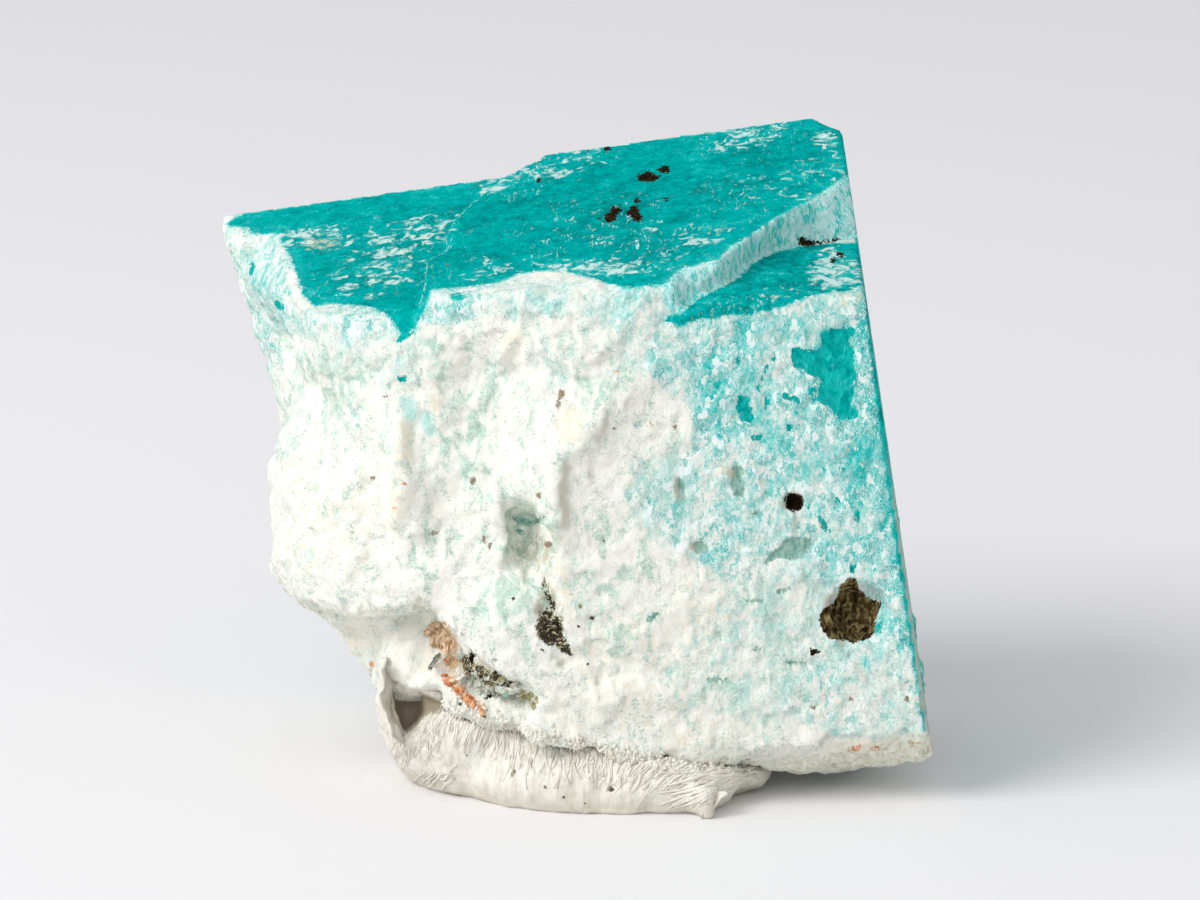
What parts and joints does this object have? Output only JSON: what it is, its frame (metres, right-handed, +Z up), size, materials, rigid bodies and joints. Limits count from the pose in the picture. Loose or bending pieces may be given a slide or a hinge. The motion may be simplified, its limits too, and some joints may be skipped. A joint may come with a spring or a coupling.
{
  "type": "rough amazonite crystal on mounting putty",
  "caption": "Leaning blocky mineral crystal, flat teal top and mottled front, white rough side and pits, pressed into folded white putty that rests flat.",
  "frame": {"origin": "centre of the common box of crystal and putty in X and Y, on the surface they rest on", "axes": "+Z up from the resting surface, -Y towards the mottled front face, +X towards the straight right edge"},
  "size_m": [0.0514, 0.0314, 0.0444],
  "materials": {
    "amazonite": "satin cleavage faces, rough white feldspar crust",
    "putty": "matt, pulled and folded"
  },
  "bodies": {
    "root": {"amazonite_crystal": "amazonite", "mounting_putty": "putty"}
  },
  "joints": []
}
